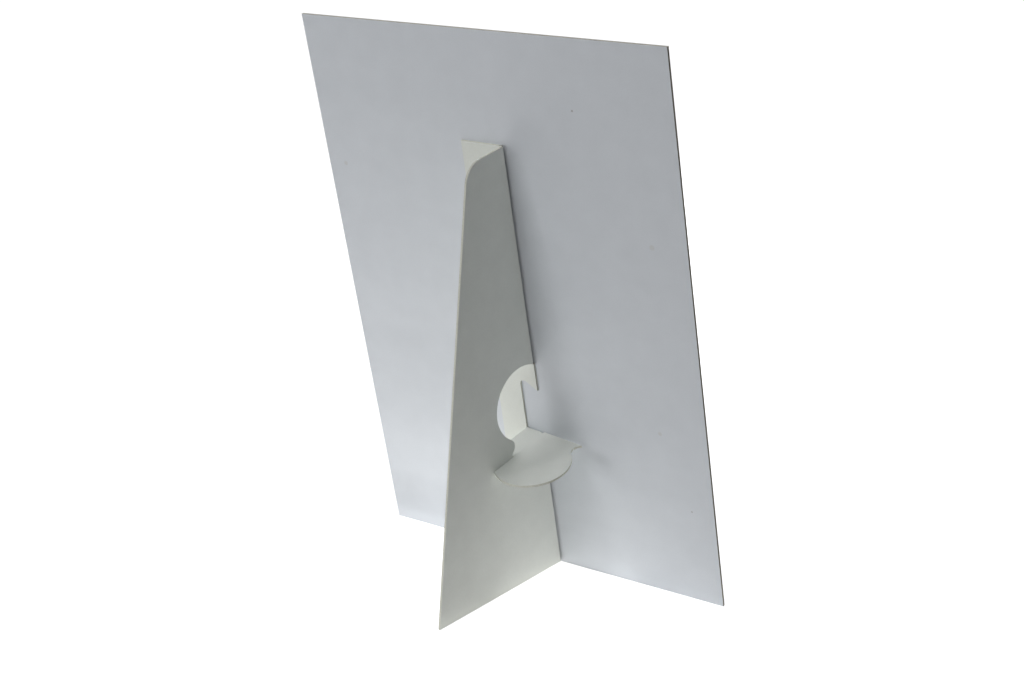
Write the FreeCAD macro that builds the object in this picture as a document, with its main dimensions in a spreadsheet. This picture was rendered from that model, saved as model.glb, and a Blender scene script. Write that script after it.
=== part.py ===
import FreeCAD, Part
import Sketcher
import math
import os

# Cardboard display stand, seen as a product drawing: a flat display card and a one-wing strut.
# The strut is one die-cut sheet: a flap glued to the card's back, a wing folded out of it, and a
# locking tab cut from both, folded down across the wing to hold it open.
# Millimetres and degrees. The strut is drawn on the card's back: X across, Y through, Z up the card.

V = FreeCAD.Vector

SIZES = [
    # the display card, a plain A4 board
    ("panel_width", 210.0),
    ("panel_height", 297.0),
    ("panel_thick", 1.4),
    # the strut's card, and where it is glued
    ("card_thick", 1.2),
    ("crease_radius", 0.2),
    ("hinge_thick", 0.5),
    ("strut_height", 239.0),
    ("strut_lift", 1.0),
    ("fold_offset", 7.35),
    ("strut_skew", 0.5),
    ("flap_width", 25.4),
    # the wing: how far it is opened, its foot and its tapered free edge
    ("wing_opening", 97.0),
    ("foot_reach", 92.9),
    ("foot_rise", 13.4),
    ("wing_taper", 16.44),
    ("wing_corner", 12.0),
    # the round window that the tab leaves in the wing
    ("window_radius", 19.9),
    ("window_offset", 12.1),
    ("window_height", 103.8),
    ("neck_radius", 4.7),
    # the tab: its crease, hook and neck keep their place from the window; then how it lies folded
    ("crease_drop", 23.7),
    ("neck_rise", 4.4),
    ("tab_crease_slope", 6.6),
    ("tab_strip", 10.5),
    ("hook_radius", 2.5),
    ("hook_rise", 3.2),
    ("root_rise", 1.2),
    ("tab_fold", 94.1),
    ("tab_bend", 5.8),
    ("cut_gap", 0.3),
]

doc = FreeCAD.newDocument("display_stand")
sheet = doc.addObject("Spreadsheet::Sheet", "sizes")
for row, (alias, number) in enumerate(SIZES, start=1):
    sheet.set("A%d" % row, alias)
    sheet.set("B%d" % row, str(number))
    sheet.setAlias("B%d" % row, alias)
doc.recompute()
size = {alias: float(number) for alias, number in SIZES}

# Expressions that more than one feature reads.
BEND = "(sizes.card_thick + sizes.crease_radius)"
HINGE = "(sizes.crease_radius + sizes.hinge_thick)"
FOLD_SETBACK = "(" + BEND + " * tan(sizes.wing_opening / 2))"
TAB_SETBACK = "(" + BEND + " * tan(sizes.tab_fold / 2))"
WINDOW_TOP = ("(sizes.window_height + sqrt(sizes.window_radius^2"
              " - (sizes.window_offset - " + FOLD_SETBACK + ")^2))")
CREASE_HEIGHT = "(sizes.window_height - sizes.crease_drop)"
NECK_HEIGHT = "(" + CREASE_HEIGHT + " + sizes.neck_rise)"
HOOK_HEIGHT = "(sizes.window_height + sizes.hook_rise)"
ROOT_HEIGHT = "(sizes.window_height + sizes.root_rise)"
WINDOW_SILL = "(" + CREASE_HEIGHT + " - sizes.card_thick - sizes.cut_gap)"
SILL_DROP = "(sizes.tab_fold - 90)"

# The same lengths as first guesses for the sketches, which their constraints then settle.
bend = size["card_thick"] + size["crease_radius"]
fold_setback = bend * math.tan(math.radians(size["wing_opening"] / 2))
tab_setback = bend * math.tan(math.radians(size["tab_fold"] / 2))
crease_height = size["window_height"] - size["crease_drop"]
neck_height = crease_height + size["neck_rise"]
hook_height = size["window_height"] + size["hook_rise"]
root_height = size["window_height"] + size["root_rise"]
neck_offset = size["window_offset"] + math.sqrt(
    (size["window_radius"] + size["neck_radius"]) ** 2
    - (size["window_height"] - neck_height) ** 2)


def new_body(name):
    body = doc.addObject("PartDesign::Body", name)
    body.Label = name
    return body


def origin_plane(body, role):
    for feature in body.Origin.OriginFeatures:
        if feature.Role == role:
            return feature
    raise RuntimeError("no plane " + role)


def new_sketch(body, name, role, offset=None):
    sketch = body.newObject("Sketcher::SketchObject", name)
    sketch.AttachmentSupport = [(origin_plane(body, role), "")]
    sketch.MapMode = "FlatFace"
    if offset:
        sketch.setExpression("AttachmentOffset", offset)
    doc.recompute()
    return sketch


def pad(body, sketch, name, length, backwards=False):
    feature = body.newObject("PartDesign::Pad", name)
    feature.Profile = sketch
    feature.setExpression("Length", length)
    feature.Reversed = backwards
    sketch.Visibility = False
    doc.recompute()
    return feature


class Outline:
    """One closed outline of lines and arcs, joined end to end, with its sizes bound to the sheet."""

    def __init__(self, sketch):
        self.sketch = sketch
        self.edges = []

    def line(self, x0, y0, x1, y1):
        self.edges.append(self.sketch.addGeometry(Part.LineSegment(V(x0, y0, 0), V(x1, y1, 0)), False))
        return self.edges[-1]

    def arc(self, cx, cy, radius, start, end):
        circle = Part.Circle(V(cx, cy, 0), V(0, 0, 1), radius)
        curve = Part.ArcOfCircle(circle, math.radians(start), math.radians(end))
        self.edges.append(self.sketch.addGeometry(curve, False))
        return self.edges[-1]

    def rule(self, *rule):
        return self.sketch.addConstraint(Sketcher.Constraint(*rule))

    def sized(self, expression, *rule):
        index = self.rule(*rule)
        self.sketch.setExpression("Constraints[%d]" % index, expression)

    def across(self, edge, end, value, expression):
        """Distance of an end of an edge from the sketch's upright axis, right side positive."""
        self.sized(expression, "DistanceX", -1, 1, edge, end, value)

    def height(self, edge, end, value, expression):
        """Height of an end of an edge above the sketch's level axis."""
        self.sized(expression, "DistanceY", -1, 1, edge, end, value)

    def meet(self, first, first_end, second, second_end):
        self.rule("Coincident", first, first_end, second, second_end)

    def smooth(self, first, first_end, second, second_end):
        self.rule("Tangent", first, first_end, second, second_end)


START, END, CENTRE = 1, 2, 3


def make_panel():
    """The display card: a flat rectangle, its back face on the drawing plane."""
    body = new_body("display_panel")
    sketch = new_sketch(body, "panel_outline", "XZ_Plane")
    half = size["panel_width"] / 2
    tall = size["panel_height"]
    out = Outline(sketch)
    bottom = out.line(-half, 0, half, 0)
    right = out.line(half, 0, half, tall)
    top = out.line(half, tall, -half, tall)
    left = out.line(-half, tall, -half, 0)
    for first, second in ((bottom, right), (right, top), (top, left), (left, bottom)):
        out.meet(first, END, second, START)
    out.rule("PointOnObject", bottom, START, -1)
    out.rule("Horizontal", bottom)
    out.rule("Horizontal", top)
    out.rule("Vertical", left)
    out.rule("Vertical", right)
    out.across(bottom, END, half, "sizes.panel_width / 2")
    out.sized("sizes.panel_width", "Distance", bottom, size["panel_width"])
    out.sized("sizes.panel_height", "Distance", right, tall)
    pad(body, sketch, "panel_board", "sizes.panel_thick", backwards=True)
    return body


def draw_fold_section(sketch):
    """The hinge that joins flap and wing, seen from above.

    The sheet is half cut along the fold from its glued side. The plies that are left bend about
    the crease, and the cut opens into a groove between the wing and the display card."""
    turn = size["wing_opening"]
    inner = size["crease_radius"]
    outer = inner + size["hinge_thick"]
    cx, cy = -fold_setback, -bend
    out = Outline(sketch)
    outside = out.arc(cx, cy, outer, 90 - turn, 90)
    inside = out.arc(cx, cy, inner, 90 - turn, 90)
    flap_end = out.line(cx, cy + outer, cx, cy + inner)
    away = math.radians(90 - turn)
    wing_end = out.line(cx + outer * math.cos(away), cy + outer * math.sin(away),
                        cx + inner * math.cos(away), cy + inner * math.sin(away))
    out.meet(outside, END, flap_end, START)
    out.meet(flap_end, END, inside, END)
    out.meet(outside, START, wing_end, START)
    out.meet(wing_end, END, inside, START)
    out.meet(outside, CENTRE, inside, CENTRE)
    out.rule("Vertical", flap_end)
    out.rule("PointOnObject", outside, CENTRE, flap_end)
    out.rule("PointOnObject", outside, CENTRE, wing_end)
    out.sized(HINGE, "Radius", outside, outer)
    out.sized("sizes.crease_radius", "Radius", inside, inner)
    out.across(outside, CENTRE, cx, "-" + FOLD_SETBACK)
    out.height(outside, CENTRE, cy, "-" + BEND)
    out.sized("270 - sizes.wing_opening", "Angle", wing_end, math.radians(270 - turn))


def draw_wing(sketch):
    """The wing, laid flat: X is the distance from the fold, Y the height above the strut's foot."""
    tall = size["strut_height"]
    reach = size["foot_reach"]
    rise = size["foot_rise"]
    taper = math.radians(size["wing_taper"])
    corner = size["wing_corner"]
    radius = size["window_radius"]
    wx, wy = size["window_offset"], size["window_height"]
    neck = size["neck_radius"]
    nx, ny = neck_offset, neck_height
    tip = crease_height + size["cut_gap"]
    sill = crease_height - size["card_thick"] - size["cut_gap"]

    top_x = reach - (tall - rise) * math.tan(taper)
    lean = math.tan((math.pi / 2 + taper) / 2)
    corner_x = top_x - corner / lean
    window_top = wy + math.sqrt(radius ** 2 - (wx - fold_setback) ** 2)
    joint = math.degrees(math.atan2(ny - wy, nx - wx))
    start = math.degrees(math.atan2(window_top - wy, fold_setback - wx))
    tip_x = nx - math.sqrt(neck ** 2 - (ny - tip) ** 2)
    neck_end = math.degrees(math.atan2(tip - ny, tip_x - nx)) % 360
    drop = math.tan(math.radians(size["tab_fold"] - 90))
    catch_x = tip_x + size["card_thick"]

    out = Outline(sketch)
    foot = out.line(fold_setback, 0, reach, rise)
    free = out.line(reach, rise, top_x + corner / lean * math.sin(taper), tall - corner / lean)
    round_top = out.arc(corner_x, tall - corner, corner, math.degrees(taper), 90)
    top = out.line(corner_x, tall, fold_setback, tall)
    fold_high = out.line(fold_setback, tall, fold_setback, window_top)
    window = out.arc(wx, wy, radius, joint, start)
    neck_arc = out.arc(nx, ny, neck, joint + 180, neck_end)
    catch = out.line(tip_x, tip, catch_x, sill - catch_x * drop)
    sill_line = out.line(catch_x, sill - catch_x * drop, fold_setback, sill - fold_setback * drop)
    fold_low = out.line(fold_setback, sill - fold_setback * drop, fold_setback, 0)

    out.meet(foot, END, free, START)
    out.smooth(free, END, round_top, START)
    out.smooth(round_top, END, top, START)
    out.meet(top, END, fold_high, START)
    out.meet(fold_high, END, window, END)
    out.smooth(window, START, neck_arc, START)
    out.meet(neck_arc, END, catch, START)
    out.meet(catch, END, sill_line, START)
    out.meet(sill_line, END, fold_low, START)
    out.meet(fold_low, END, foot, START)

    out.rule("Horizontal", top)
    out.rule("Vertical", fold_high)
    out.rule("Vertical", fold_low)
    out.rule("PointOnObject", foot, START, -1)
    out.across(foot, START, fold_setback, FOLD_SETBACK)
    out.across(fold_high, END, fold_setback, FOLD_SETBACK)
    out.across(foot, END, reach, "sizes.foot_reach")
    out.height(foot, END, rise, "sizes.foot_rise")
    out.height(top, START, tall, "sizes.strut_height")
    out.sized("sizes.wing_corner", "Radius", round_top, corner)
    out.sized("90 + sizes.wing_taper", "Angle", free, math.pi / 2 + taper)
    out.sized("sizes.window_radius", "Radius", window, radius)
    out.across(window, CENTRE, wx, "sizes.window_offset")
    out.height(window, CENTRE, wy, "sizes.window_height")
    out.sized("sizes.neck_radius", "Radius", neck_arc, neck)
    out.height(neck_arc, CENTRE, ny, NECK_HEIGHT)
    out.height(neck_arc, END, tip, CREASE_HEIGHT + " + sizes.cut_gap")
    out.sized("180 - " + SILL_DROP, "Angle", sill_line, math.radians(180 - (size["tab_fold"] - 90)))
    out.height(sill_line, END, sill - fold_setback * drop,
               WINDOW_SILL + " - " + FOLD_SETBACK + " * tan(" + SILL_DROP + ")")
    out.sized("sizes.card_thick", "DistanceX", catch, START, catch, END, size["card_thick"])


def draw_flap(sketch):
    """The glued flap: a strip with the slot that the tab's hook leaves beside the fold."""
    tall = size["strut_height"]
    width = size["flap_width"]
    gap = size["cut_gap"]
    strip = size["tab_strip"]
    hook = size["hook_radius"]
    hy = hook_height
    root = root_height
    slope = math.tan(math.radians(size["tab_crease_slope"]))
    drop = tab_setback / math.cos(math.radians(size["tab_crease_slope"]))
    crease = crease_height - drop
    window_top = size["window_height"] + math.sqrt(
        size["window_radius"] ** 2 - (size["window_offset"] - fold_setback) ** 2)

    out = Outline(sketch)
    bottom = out.line(-width, 0, -fold_setback, 0)
    fold_low = out.line(-fold_setback, 0, -fold_setback, crease + fold_setback * slope)
    crease_line = out.line(-fold_setback, crease + fold_setback * slope, -strip, crease + strip * slope)
    slot = out.line(-strip, crease + strip * slope, -strip, hy)
    hook_arc = out.arc(hook - strip, hy, hook, 55, 180)
    barb = out.line(hook - strip + 1, hy + hook, -gap, root)
    cut_edge = out.line(-gap, root, -gap, window_top)
    step = out.line(-gap, window_top, -fold_setback, window_top)
    fold_high = out.line(-fold_setback, window_top, -fold_setback, tall)
    top = out.line(-fold_setback, tall, -width, tall)
    left = out.line(-width, tall, -width, 0)

    out.meet(bottom, END, fold_low, START)
    out.meet(fold_low, END, crease_line, START)
    out.meet(crease_line, END, slot, START)
    out.smooth(slot, END, hook_arc, END)
    out.smooth(hook_arc, START, barb, START)
    out.meet(barb, END, cut_edge, START)
    out.meet(cut_edge, END, step, START)
    out.meet(step, END, fold_high, START)
    out.meet(fold_high, END, top, START)
    out.meet(top, END, left, START)
    out.meet(left, END, bottom, START)

    out.rule("PointOnObject", bottom, START, -1)
    for edge in (bottom, step, top):
        out.rule("Horizontal", edge)
    for edge in (fold_low, slot, cut_edge, fold_high, left):
        out.rule("Vertical", edge)
    out.across(bottom, START, -width, "-sizes.flap_width")
    out.across(bottom, END, -fold_setback, "-" + FOLD_SETBACK)
    out.across(fold_high, START, -fold_setback, "-" + FOLD_SETBACK)
    out.height(top, START, tall, "sizes.strut_height")
    out.across(slot, START, -strip, "-sizes.tab_strip")
    out.sized("180 - sizes.tab_crease_slope", "Angle", crease_line,
              math.radians(180 - size["tab_crease_slope"]))
    out.height(crease_line, START, crease + fold_setback * slope,
               CREASE_HEIGHT + " - " + TAB_SETBACK + " / cos(sizes.tab_crease_slope) + "
               + FOLD_SETBACK + " * tan(sizes.tab_crease_slope)")
    out.sized("sizes.hook_radius", "Radius", hook_arc, hook)
    out.height(hook_arc, CENTRE, hy, HOOK_HEIGHT)
    out.across(cut_edge, START, -gap, "-sizes.cut_gap")
    out.height(cut_edge, START, root, ROOT_HEIGHT)
    out.height(step, START, window_top, WINDOW_TOP)


def draw_tab_crease(sketch):
    """The tab's crease, seen along it: X is through the card, Y up the flap, 0,0 the sharp corner."""
    turn = size["tab_fold"]
    inner = size["crease_radius"]
    cx, cy = -bend, -tab_setback
    end = math.radians(turn)
    out = Outline(sketch)
    outside = out.arc(cx, cy, bend, 0, turn)
    inside = out.arc(cx, cy, inner, 0, turn)
    flap_end = out.line(cx + bend, cy, cx + inner, cy)
    tab_end = out.line(cx + bend * math.cos(end), cy + bend * math.sin(end),
                       cx + inner * math.cos(end), cy + inner * math.sin(end))
    out.meet(outside, START, flap_end, START)
    out.meet(flap_end, END, inside, START)
    out.meet(outside, END, tab_end, START)
    out.meet(tab_end, END, inside, END)
    out.meet(outside, CENTRE, inside, CENTRE)
    out.rule("Horizontal", flap_end)
    out.rule("PointOnObject", outside, CENTRE, flap_end)
    out.rule("PointOnObject", outside, CENTRE, tab_end)
    out.rule("PointOnObject", flap_end, START, -2)
    out.sized(BEND, "Radius", outside, bend)
    out.sized("sizes.crease_radius", "Radius", inside, inner)
    out.height(outside, CENTRE, cy, "-" + TAB_SETBACK)
    out.sized("sizes.tab_fold", "Angle", flap_end, END, tab_end, END, end)


def draw_tab_strip(sketch):
    """The tab's part that was cut from the flap, drawn where it lay in the flat sheet."""
    gap = size["cut_gap"]
    left = -size["tab_strip"] + gap
    hook = size["hook_radius"] - gap
    hy = hook_height
    root = root_height - gap
    slope = math.tan(math.radians(size["tab_crease_slope"]))
    crease = crease_height + tab_setback / math.cos(math.radians(size["tab_crease_slope"]))

    out = Outline(sketch)
    crease_line = out.line(0, crease, left, crease - left * slope)
    edge = out.line(left, crease - left * slope, left, hy)
    hook_arc = out.arc(left + hook, hy, hook, 55, 180)
    barb = out.line(left + hook + 1, hy + hook, 0, root)
    score = out.line(0, root, 0, crease)

    out.meet(crease_line, END, edge, START)
    out.smooth(edge, END, hook_arc, END)
    out.smooth(hook_arc, START, barb, START)
    out.meet(barb, END, score, START)
    out.meet(score, END, crease_line, START)
    out.rule("Vertical", edge)
    out.rule("Vertical", score)
    out.rule("PointOnObject", score, START, -2)
    out.across(edge, START, left, "sizes.cut_gap - sizes.tab_strip")
    out.height(crease_line, START, crease,
               CREASE_HEIGHT + " + " + TAB_SETBACK + " / cos(sizes.tab_crease_slope)")
    out.sized("180 - sizes.tab_crease_slope", "Angle", crease_line,
              math.radians(180 - size["tab_crease_slope"]))
    out.sized("sizes.hook_radius - sizes.cut_gap", "Radius", hook_arc, hook)
    out.height(hook_arc, CENTRE, hy, HOOK_HEIGHT)
    out.height(score, START, root, ROOT_HEIGHT + " - sizes.cut_gap")


def draw_tab_plate(sketch):
    """The tab's part that was cut from the wing, the same outline as the window it left."""
    gap = size["cut_gap"]
    rear = crease_height + gap
    root = root_height - gap
    radius = size["window_radius"]
    wx, wy = size["window_offset"], size["window_height"]
    neck = size["neck_radius"]
    nx, ny = neck_offset, neck_height
    joint = math.degrees(math.atan2(ny - wy, nx - wx))
    peak = wy + math.sqrt(radius ** 2 - (wx - gap) ** 2)
    start = math.degrees(math.atan2(peak - wy, gap - wx))
    tip_x = nx - math.sqrt(neck ** 2 - (ny - rear) ** 2)
    neck_end = math.degrees(math.atan2(rear - ny, tip_x - nx)) % 360

    out = Outline(sketch)
    rear_edge = out.line(0, rear, tip_x, rear)
    neck_arc = out.arc(nx, ny, neck, joint + 180, neck_end)
    rim = out.arc(wx, wy, radius, joint, start)
    stop = out.line(gap, peak, gap, root)
    notch = out.line(gap, root, 0, root)
    score = out.line(0, root, 0, rear)

    out.meet(rear_edge, END, neck_arc, END)
    out.smooth(neck_arc, START, rim, START)
    out.meet(rim, END, stop, START)
    out.meet(stop, END, notch, START)
    out.meet(notch, END, score, START)
    out.meet(score, END, rear_edge, START)
    out.rule("Horizontal", rear_edge)
    out.rule("Horizontal", notch)
    out.rule("Vertical", stop)
    out.rule("Vertical", score)
    out.rule("PointOnObject", score, START, -2)
    out.across(stop, END, gap, "sizes.cut_gap")
    out.height(notch, START, root, ROOT_HEIGHT + " - sizes.cut_gap")
    out.height(rear_edge, START, rear, CREASE_HEIGHT + " + sizes.cut_gap")
    out.sized("sizes.window_radius", "Radius", rim, radius)
    out.across(rim, CENTRE, wx, "sizes.window_offset")
    out.height(rim, CENTRE, wy, "sizes.window_height")
    out.sized("sizes.neck_radius", "Radius", neck_arc, neck)
    out.height(neck_arc, CENTRE, ny, NECK_HEIGHT)


def make_strut():
    """The strut, folded from one sheet. Its own origin is the foot of the fold's outer corner."""
    body = new_body("strut")

    # The wing's drawing plane stands on the fold and is turned by the opening.
    wing = new_sketch(body, "wing_outline", "XZ_Plane",
                      "placement(vector(0; 0; 0); rotation(vector(0; 1; 0); -sizes.wing_opening))")
    draw_wing(wing)
    pad(body, wing, "wing", "sizes.card_thick")

    low = new_sketch(body, "fold_below_window", "XY_Plane")
    draw_fold_section(low)
    pad(body, low, "lower_fold",
        WINDOW_SILL + " - " + FOLD_SETBACK + " * tan(" + SILL_DROP + ")")

    high = new_sketch(body, "fold_above_window", "XY_Plane",
                      "placement(vector(0; 0; " + WINDOW_TOP + "); rotation(vector(0; 0; 1); 0))")
    draw_fold_section(high)
    pad(body, high, "upper_fold", "sizes.strut_height - " + WINDOW_TOP)

    flap = new_sketch(body, "flap_outline", "XZ_Plane")
    draw_flap(flap)
    pad(body, flap, "flap", "sizes.card_thick")

    # The tab's crease runs across the flap, a little downhill towards the fold.
    crease = new_sketch(body, "tab_crease_section", "YZ_Plane",
                        "placement(vector(0; " + CREASE_HEIGHT + "; 0);"
                        " rotation(vector(1; 0; 0); sizes.tab_crease_slope))"
                        " * placement(vector(0; 0; -" + FOLD_SETBACK + "); rotation(vector(0; 0; 1); 0))")
    draw_tab_crease(crease)
    pad(body, crease, "tab_crease",
        "(sizes.tab_strip - sizes.cut_gap - " + FOLD_SETBACK + ") / cos(sizes.tab_crease_slope)",
        backwards=True)

    # Both parts of the tab are drawn in the flat sheet and turned down about that crease.
    folded = ("placement(vector(0; " + CREASE_HEIGHT + "; 0);"
              " rotation(vector(cos(sizes.tab_crease_slope); -sin(sizes.tab_crease_slope); 0);"
              " sizes.tab_fold)) * placement(vector(0; -" + CREASE_HEIGHT + "; 0);"
              " rotation(vector(0; 0; 1); 0))")
    strip = new_sketch(body, "tab_strip_outline", "XZ_Plane", folded)
    draw_tab_strip(strip)
    pad(body, strip, "tab_strip", "sizes.card_thick")

    # The wing's part is also bent up a little along the score that crosses the tab.
    bent = (folded + " * placement(vector(0; 0; sizes.card_thick);"
            " rotation(vector(0; 1; 0); sizes.tab_bend))"
            " * placement(vector(0; 0; -sizes.card_thick); rotation(vector(0; 0; 1); 0))")
    plate = new_sketch(body, "tab_plate_outline", "XZ_Plane", bent)
    draw_tab_plate(plate)
    pad(body, plate, "tab_plate", "sizes.card_thick")
    return body


def stand_up(panel, strut):
    """Lean the card back until its lower back edge and the wing's foot both touch the table."""
    tip_out = "(sizes.foot_reach * sin(sizes.wing_opening))"
    tip_up = ("(sizes.strut_lift + sizes.foot_rise * cos(sizes.strut_skew)"
              " - sizes.foot_reach * cos(sizes.wing_opening) * sin(sizes.strut_skew))")
    lean = "atan(" + tip_up + " / " + tip_out + ")"
    depth = "sqrt(" + tip_up + "^2 + " + tip_out + "^2)"
    card = ("placement(vector(0; (sizes.panel_thick * cos(" + lean + ") - " + depth + ") / 2; 0);"
            " rotation(vector(0; 0; 1); 180))"
            " * placement(vector(0; 0; 0); rotation(vector(1; 0; 0); " + lean + "))")
    glued = (" * placement(vector(sizes.fold_offset; 0; sizes.strut_lift);"
             " rotation(vector(0; 1; 0); sizes.strut_skew))")
    panel.setExpression("Placement", card)
    strut.setExpression("Placement", card + glued)
    doc.recompute()


panel = make_panel()
strut = make_strut()
stand_up(panel, strut)

for item in doc.Objects:
    if "Invalid" in item.State or "Error" in item.State:
        raise RuntimeError(item.Name + " failed: " + ", ".join(item.State))
for piece in (panel, strut):
    if piece.Shape.isNull() or not piece.Shape.isValid() or len(piece.Shape.Solids) != 1:
        raise RuntimeError(piece.Label + " is not one valid solid")

os.makedirs("parts", exist_ok=True)
for piece in (panel, strut):
    piece.Shape.exportStep("parts/" + piece.Label + ".step")
    box = piece.Shape.BoundBox
    print(piece.Label, "volume %.1f mm3" % piece.Shape.Volume,
          "box %.2f %.2f %.2f to %.2f %.2f %.2f" % (box.XMin, box.YMin, box.ZMin, box.XMax, box.YMax, box.ZMax))
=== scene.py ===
import math

import bpy
from mathutils import Matrix, Vector

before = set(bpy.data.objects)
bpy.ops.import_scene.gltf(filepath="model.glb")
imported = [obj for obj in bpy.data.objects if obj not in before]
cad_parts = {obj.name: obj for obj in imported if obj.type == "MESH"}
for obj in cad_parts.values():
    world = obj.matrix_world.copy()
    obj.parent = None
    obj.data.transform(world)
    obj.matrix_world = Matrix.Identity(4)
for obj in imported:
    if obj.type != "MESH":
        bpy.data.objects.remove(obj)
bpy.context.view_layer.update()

# A white cardboard display stand seen from behind: a coated display card, and a die-cut strut of
# solid white board that is glued to its back and locked open by its own folded tab.

# ---------------------------------------------------------------------------------------------
# How the card and the folded strut stand, in metres and radians. The patterns, and the tests
# that tell a sheet's two sides from its cut edges, follow these frames.

MM_PER_M = 1000

LEAN = math.radians(8.9358)
STAND_OFFSET = 0.045979
STRUT_THICK = 0.0012
FOLD_OFFSET = 0.00735
STRUT_LIFT = 0.001
STRUT_SKEW = math.radians(0.5)
WING_OPENING = math.radians(97.0)
CREASE_HEIGHT = 0.0801
CREASE_SLOPE = math.radians(6.6)
TAB_FOLD = math.radians(94.1)
TAB_BEND = math.radians(5.8)
BEND_RADIUS = 0.0014

board = (Matrix.Translation((0, -STAND_OFFSET, 0)) @ Matrix.Rotation(math.pi, 4, "Z")
         @ Matrix.Rotation(LEAN, 4, "X"))
strut = (board @ Matrix.Translation((FOLD_OFFSET, 0, STRUT_LIFT))
         @ Matrix.Rotation(STRUT_SKEW, 4, "Y"))
flap = strut @ Matrix.Rotation(math.pi / 2, 4, "X")
wing = flap @ Matrix.Rotation(-WING_OPENING, 4, "Y")
crease_line = Vector((math.cos(CREASE_SLOPE), -math.sin(CREASE_SLOPE), 0))
tab = (flap @ Matrix.Translation((0, CREASE_HEIGHT, 0))
       @ Matrix.Rotation(TAB_FOLD, 4, crease_line)
       @ Matrix.Translation((0, -CREASE_HEIGHT, 0)))
tab_end = (tab @ Matrix.Translation((0, 0, STRUT_THICK)) @ Matrix.Rotation(TAB_BEND, 4, "Y")
           @ Matrix.Translation((0, 0, -STRUT_THICK)))


def direction(place, way):
    return (place.to_3x3() @ Vector(way)).normalized()


# ---------------------------------------------------------------------------------------------
# Shader helpers

# the least cosine between a face's normal and a direction that counts the face as square to it
SQUARE = 0.999


def linear(hexa):
    """An sRGB hex colour as the linear colour that a shader takes."""
    def channel(pair):
        v = int(pair, 16) / 255
        return v / 12.92 if v <= 0.04045 else ((v + 0.055) / 1.055) ** 2.4
    return (channel(hexa[0:2]), channel(hexa[2:4]), channel(hexa[4:6]), 1.0)


def node(tree, kind, inputs=(), **settings):
    """Add a node, with its settings, and give each named or numbered input a value or a link."""
    made = tree.nodes.new(kind)
    for name, value in settings.items():
        setattr(made, name, value)
    for name, value in dict(inputs).items():
        if isinstance(value, bpy.types.NodeSocket):
            tree.links.new(value, made.inputs[name])
        else:
            made.inputs[name].default_value = value
    return made


def maths(tree, operation, *values):
    return node(tree, "ShaderNodeMath", dict(enumerate(values)), operation=operation).outputs[0]


def vector_maths(tree, operation, *values):
    """A vector, or a number where the operation measures something."""
    made = node(tree, "ShaderNodeVectorMath", dict(enumerate(values)), operation=operation)
    measures = operation in ("DOT_PRODUCT", "LENGTH", "DISTANCE")
    return made.outputs["Value" if measures else "Vector"]


def new_material(name):
    material = bpy.data.materials.new(name)
    material.use_nodes = True
    material.node_tree.nodes.clear()
    return material, material.node_tree


def millimetres(tree, place):
    """The point on the piece, in millimetres, in the frame of the card or strut given."""
    point = node(tree, "ShaderNodeTexCoord").outputs["Object"]
    return node(tree, "ShaderNodeMapping", {
        "Vector": point, "Location": place.to_translation(),
        "Rotation": place.to_euler("XYZ"), "Scale": [1 / MM_PER_M] * 3,
    }, vector_type="TEXTURE").outputs[0]


def faces_along(tree, ways):
    """1 on faces square to one of these directions, such as a card's two sides, 0 on the rest."""
    normal = node(tree, "ShaderNodeNewGeometry").outputs["True Normal"]
    best = 0.0
    for way in ways:
        facing = maths(tree, "ABSOLUTE", vector_maths(tree, "DOT_PRODUCT", normal, way))
        best = maths(tree, "MAXIMUM", facing, best)
    return maths(tree, "GREATER_THAN", best, SQUARE)


def spread(tree, value, low, high, to_low=0.0, to_high=1.0):
    """The value's range from low to high, drawn out from to_low to to_high."""
    return node(tree, "ShaderNodeMapRange", {
        "Value": value, "From Min": low, "From Max": high,
        "To Min": to_low, "To Max": to_high}).outputs[0]


def fade(tree, gap, inner, outer):
    """1 where the gap is under inner, falling smoothly to 0 at outer."""
    return node(tree, "ShaderNodeMapRange", {
        "Value": gap, "From Min": inner, "From Max": outer,
        "To Min": 1.0, "To Max": 0.0}, interpolation_type="SMOOTHSTEP").outputs[0]


def near_line(tree, point, start, way, inner, outer):
    """1 within inner mm of a line, fading to 0 at outer mm."""
    away = vector_maths(tree, "SUBTRACT", point, start)
    across = vector_maths(tree, "CROSS_PRODUCT", away, way)
    return fade(tree, vector_maths(tree, "LENGTH", across), inner, outer)


def spots(tree, point, places):
    """1 on small specks, each a place in mm and a radius in mm."""
    best = 0.0
    for x, y, z, radius in places:
        gap = vector_maths(tree, "DISTANCE", point, (x, y, z))
        best = maths(tree, "MAXIMUM", fade(tree, gap, radius * 0.5, radius), best)
    return best


def noise(tree, point, size_mm, detail=2.0, roughness=0.5, stretch=(1, 1, 1)):
    """Noise from 0 to 1 whose lumps are size_mm across, drawn out along the axes by stretch."""
    moved = vector_maths(tree, "MULTIPLY", point, [1 / (size_mm * s) for s in stretch])
    return node(tree, "ShaderNodeTexNoise", {
        "Vector": moved, "Scale": 1.0, "Detail": detail, "Roughness": roughness,
    }).outputs["Fac"]


def mix(tree, factor, first, second):
    """A colour between two, each an sRGB hex value or another colour output."""
    first, second = (linear(c) if isinstance(c, str) else c for c in (first, second))
    return node(tree, "ShaderNodeMix", {0: factor, 6: first, 7: second},
                data_type="RGBA").outputs[2]


def blotches(tree, pattern, first, second):
    """Two close colours, mixed by the middle of a noise's range."""
    return mix(tree, spread(tree, pattern, 0.3, 0.7), first, second)


def grained(tree, colour, grain, amount, dark):
    """The colour with up to this amount of a darker one, where the grain is coarse."""
    return mix(tree, spread(tree, grain, 0.35, 0.75, to_high=amount), colour, dark)


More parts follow.
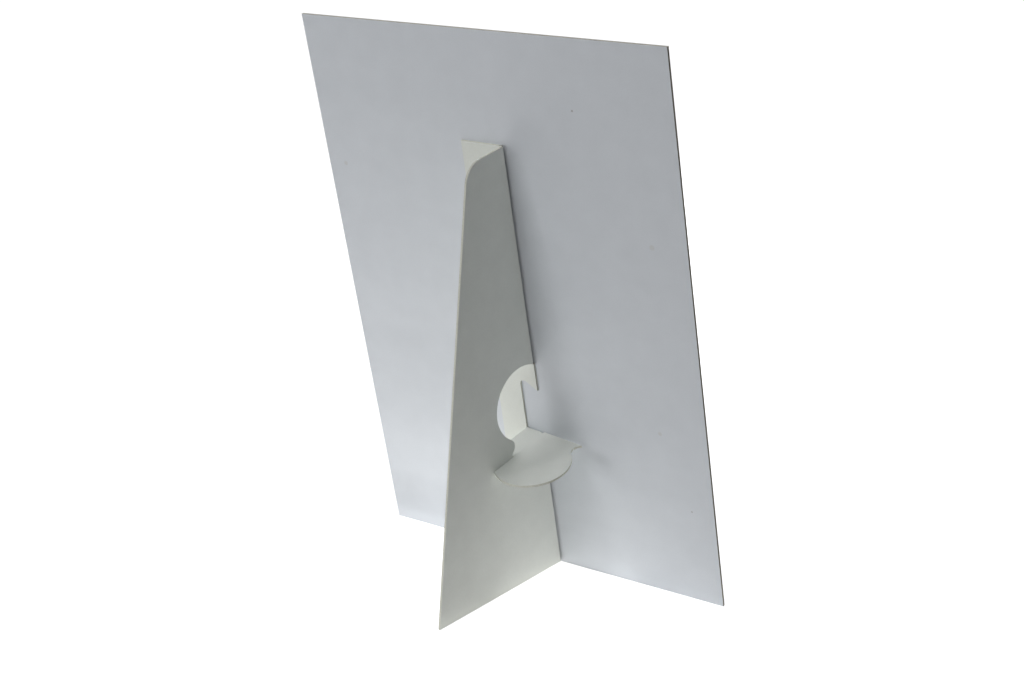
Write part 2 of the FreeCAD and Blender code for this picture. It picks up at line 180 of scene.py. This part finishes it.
def finish_board(tree, colour, sides, grain, smooth, fibre, edge_roughness, relief, depth):
    """Board: smooth within this range on its two sides, rougher on its cut edges.

    Grain and fibre stand out by this share of the depth, in metres."""
    roughness = node(tree, "ShaderNodeMix", {
        0: sides, 2: edge_roughness, 3: spread(tree, grain, 0.3, 0.7, *smooth),
    }, data_type="FLOAT").outputs[0]
    height = maths(tree, "ADD", grain, fibre)
    bump = node(tree, "ShaderNodeBump", {
        "Height": height, "Strength": relief, "Distance": depth})
    shader = node(tree, "ShaderNodeBsdfPrincipled", {
        "Base Color": colour, "Roughness": roughness, "IOR": 1.5, "Normal": bump.outputs[0]})
    node(tree, "ShaderNodeOutputMaterial", {"Surface": shader.outputs[0]})


# ---------------------------------------------------------------------------------------------
# Materials


def coated_display_board():
    """Mounted display board: a clay-coated white sheet on a pressed paper core.

    The coat is smooth and almost matt, a cool white with a soft sheen and a faint mottle from
    the core under it. The cut edges show the core's plies, warmer than the coat: the top and
    bottom edges are clean, and the long edges are painted a darker grey as painted shade."""
    material, tree = new_material("clay_coated_display_board")
    point = millimetres(tree, board)
    mottle = noise(tree, point, 14.0, detail=3.0)
    grain = noise(tree, point, 0.7, detail=3.0, roughness=0.6)
    plies = noise(tree, point, 1.6, detail=4.0, roughness=0.7, stretch=(3.0, 0.12, 3.0))

    coat = blotches(tree, mottle, "E9EEF4", "EDF2F8")
    coat = grained(tree, coat, grain, 0.35, "E2E6EE")

    # a few specks of grit pressed into the coat, and three fainter rubs
    grit = spots(tree, point, [(50.7, 0, 261.8, 0.7), (92.3, 0, 53.8, 0.6)])
    rubs = spots(tree, point, [(85.9, 0, 198.0, 1.8), (-94.3, 0, 218.3, 1.5),
                               (78.6, 0, 95.9, 1.4)])
    coat = mix(tree, spread(tree, grit, 0.0, 1.0, to_high=0.5), coat, "8F8C84")
    coat = mix(tree, spread(tree, rubs, 0.0, 1.0, to_high=0.25), coat, "C9C6BC")

    clean = blotches(tree, plies, "EBE9DC", "F6F4EA")
    # painted shade: the long cut edges take a darker grey than the top and bottom edges
    shaded_long_edges = blotches(tree, plies, "A5A195", "B9B5A9")
    ends = faces_along(tree, [direction(board, (0, 0, 1))])
    core = mix(tree, ends, shaded_long_edges, clean)

    sides = faces_along(tree, [direction(board, (0, 1, 0))])
    finish_board(tree, mix(tree, sides, core, coat), sides, grain, (0.46, 0.56), plies,
                 edge_roughness=0.9, relief=0.35, depth=0.00003)
    return material


def solid_white_board():
    """Solid bleached board, die-cut and creased.

    Both sides are bare white paper, a little warmer and more matt than the display card's coat.
    The cut edges are soft, pressed fibre of a creamier tone. The paper runs on round the folds,
    and the outer bend of the long fold is painted a darker grey than the other cuts: painted shade
    for the dark line along the fold."""
    material, tree = new_material("solid_bleached_board")
    point = millimetres(tree, strut)
    mottle = noise(tree, point, 9.0, detail=3.0)
    grain = noise(tree, point, 0.6, detail=3.0, roughness=0.6, stretch=(1, 1, 1.8))
    fibre = noise(tree, point, 0.8, detail=4.0, roughness=0.7)

    paper = blotches(tree, mottle, "F2F5EF", "F6F9F3")
    paper = grained(tree, paper, grain, 0.4, "EAEDE7")

    # the long fold and the tab's crease as lines, in millimetres: the middles of their bends
    radius = BEND_RADIUS * MM_PER_M
    fold_middle = (-radius * math.tan(WING_OPENING / 2), -radius, 0)
    setback = radius * math.tan(TAB_FOLD / 2) / math.cos(CREASE_SLOPE)
    crease_middle = (0, -radius, CREASE_HEIGHT * MM_PER_M - setback)
    crease_way = (math.cos(CREASE_SLOPE), 0, -math.sin(CREASE_SLOPE))
    fold_shade_band = near_line(tree, point, fold_middle, (0, 0, 1), inner=1.42, outer=1.5)
    fold = near_line(tree, point, fold_middle, (0, 0, 1), inner=0.4, outer=0.5)
    crease = near_line(tree, point, crease_middle, crease_way, inner=1.45, outer=1.7)

    # painted shade: the outer bend of the long fold takes a dark grey that stands for the shadow
    # line along the fold
    cut = mix(tree, fold_shade_band, blotches(tree, fibre, "D8D8CC", "E8E8DE"), "A19F96")
    flat = faces_along(tree, [direction(sheet, (0, 0, 1)) for sheet in (flap, wing, tab, tab_end)])
    sides = maths(tree, "MAXIMUM", flat, maths(tree, "MAXIMUM", fold, crease))
    finish_board(tree, mix(tree, sides, cut, paper), sides, grain, (0.62, 0.74), fibre,
                 edge_roughness=0.95, relief=0.4, depth=0.00004)
    return material


for name, material in (("display_panel", coated_display_board()), ("strut", solid_white_board())):
    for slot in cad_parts[name].material_slots:
        slot.material = material

# ---------------------------------------------------------------------------------------------
# Camera, at the photograph's viewing angle

CAMERA_PLACE = (-0.514759, 0.677602, 0.453200)
SIGHT = Vector((0.55718120, -0.75461341, -0.34656558))
SIDE = Vector((-0.81340026, -0.57996946, -0.04489367))

camera = bpy.data.objects.new("camera", bpy.data.cameras.new("camera"))
bpy.context.scene.collection.objects.link(camera)
camera.matrix_world = Matrix.Translation(CAMERA_PLACE) @ Matrix(
    (SIDE, SIDE.cross(SIGHT), -SIGHT)).transposed().to_4x4()
camera.data.sensor_width = 36.0
camera.data.lens = 64.865
camera.data.clip_start, camera.data.clip_end = 0.01, 50.0
bpy.context.scene.camera = camera

# ---------------------------------------------------------------------------------------------
# Table, background and lamps

TABLE_REACH = 6

# the lamps that stand for the table's own brightness lie this far above it, in metres
GLOW_HEIGHT = 0.0001
GLOW_TINT = "FFFDFA"


def make_table():
    """A wide white table top that keeps a soft shadow of the stand.

    Where the camera sees it, it is white, a little less so near the stand, where the light
    and the shadow on it show."""
    material, tree = new_material("white_table_top")
    point = node(tree, "ShaderNodeTexCoord").outputs["Object"]
    distance = vector_maths(tree, "LENGTH", point)
    white = spread(tree, distance, 0.25, 0.8, to_low=0.88)
    seen = node(tree, "ShaderNodeLightPath").outputs["Is Camera Ray"]
    paint = node(tree, "ShaderNodeBsdfDiffuse", {"Color": linear("F4F4F4")})
    bright = node(tree, "ShaderNodeEmission", {
        "Color": (1, 1, 1, 1), "Strength": maths(tree, "MULTIPLY", seen, white)})
    both = node(tree, "ShaderNodeAddShader", {0: paint.outputs[0], 1: bright.outputs[0]})
    node(tree, "ShaderNodeOutputMaterial", {"Surface": both.outputs[0]})

    mesh = bpy.data.meshes.new("table_top")
    corners = [(x * TABLE_REACH, y * TABLE_REACH, 0)
               for x, y in ((-1, -1), (1, -1), (1, 1), (-1, 1))]
    mesh.from_pydata(corners, [], [(0, 1, 2, 3)])
    mesh.materials.append(material)
    table = bpy.data.objects.new("table_top", mesh)
    bpy.context.scene.collection.objects.link(table)


def make_surroundings():
    """A room that is white where it is seen or mirrored. The lamps give all other light."""
    world = bpy.data.worlds.new("white_room")
    bpy.context.scene.world = world
    world.use_nodes = True
    tree = world.node_tree
    tree.nodes.clear()
    light = node(tree, "ShaderNodeLightPath")
    seen = light.outputs["Is Camera Ray"]
    for way in ("Is Glossy Ray", "Is Transmission Ray"):
        seen = maths(tree, "MAXIMUM", seen, light.outputs[way])
    back = node(tree, "ShaderNodeBackground", {"Color": (1, 1, 1, 1), "Strength": seen})
    node(tree, "ShaderNodeOutputWorld", {"Surface": back.outputs[0]})


def make_lamp(name, place, target, size, watts, colour="FFFFFF"):
    """A square soft lamp that faces its target."""
    data = bpy.data.lights.new(name, "AREA")
    data.shape = "SQUARE"
    data.size = size
    data.energy = watts
    data.color = linear(colour)[:3]
    lamp = bpy.data.objects.new(name, data)
    bpy.context.scene.collection.objects.link(lamp)
    lamp.location = place
    lamp.rotation_mode = "QUATERNION"
    lamp.rotation_quaternion = (Vector(target) - Vector(place)).to_track_quat("-Z", "Y")
    return lamp


make_table()
make_surroundings()
make_lamp("roof_light", (0.3, 0.9, 2.0), (0, 0, 0.1), 1.2, 15.3)
make_lamp("low_left_light", (0.31, 0.86, 0.15), (0, 0, 0.05), 0.28, 1.14)
make_lamp("front_light", (0, -0.8, 0.25), (0, -0.05, 0.15), 0.4, 3.5)

# the bright table throws light up at the stand, right up to where the card's edges touch it
for name, x, y, size, watts in (
        ("table_glow", 0, 0.05, 0.25, 0.07),
        ("table_glow_back", -0.05, 0.3, 0.3, 0.042),
        ("table_glow_left", 0.15, 0.13, 0.26, 0.15),
        ("table_glow_near", 0.09, 0.04, 0.2, 0.024),
        ("table_glow_corner", -0.03, -0.02, 0.05, 0.0024)):
    glow = make_lamp(name, (x, y, GLOW_HEIGHT), (x, y, 1), size, watts, GLOW_TINT)
    glow.visible_camera = False

bpy.context.scene.view_settings.view_transform = "Standard"
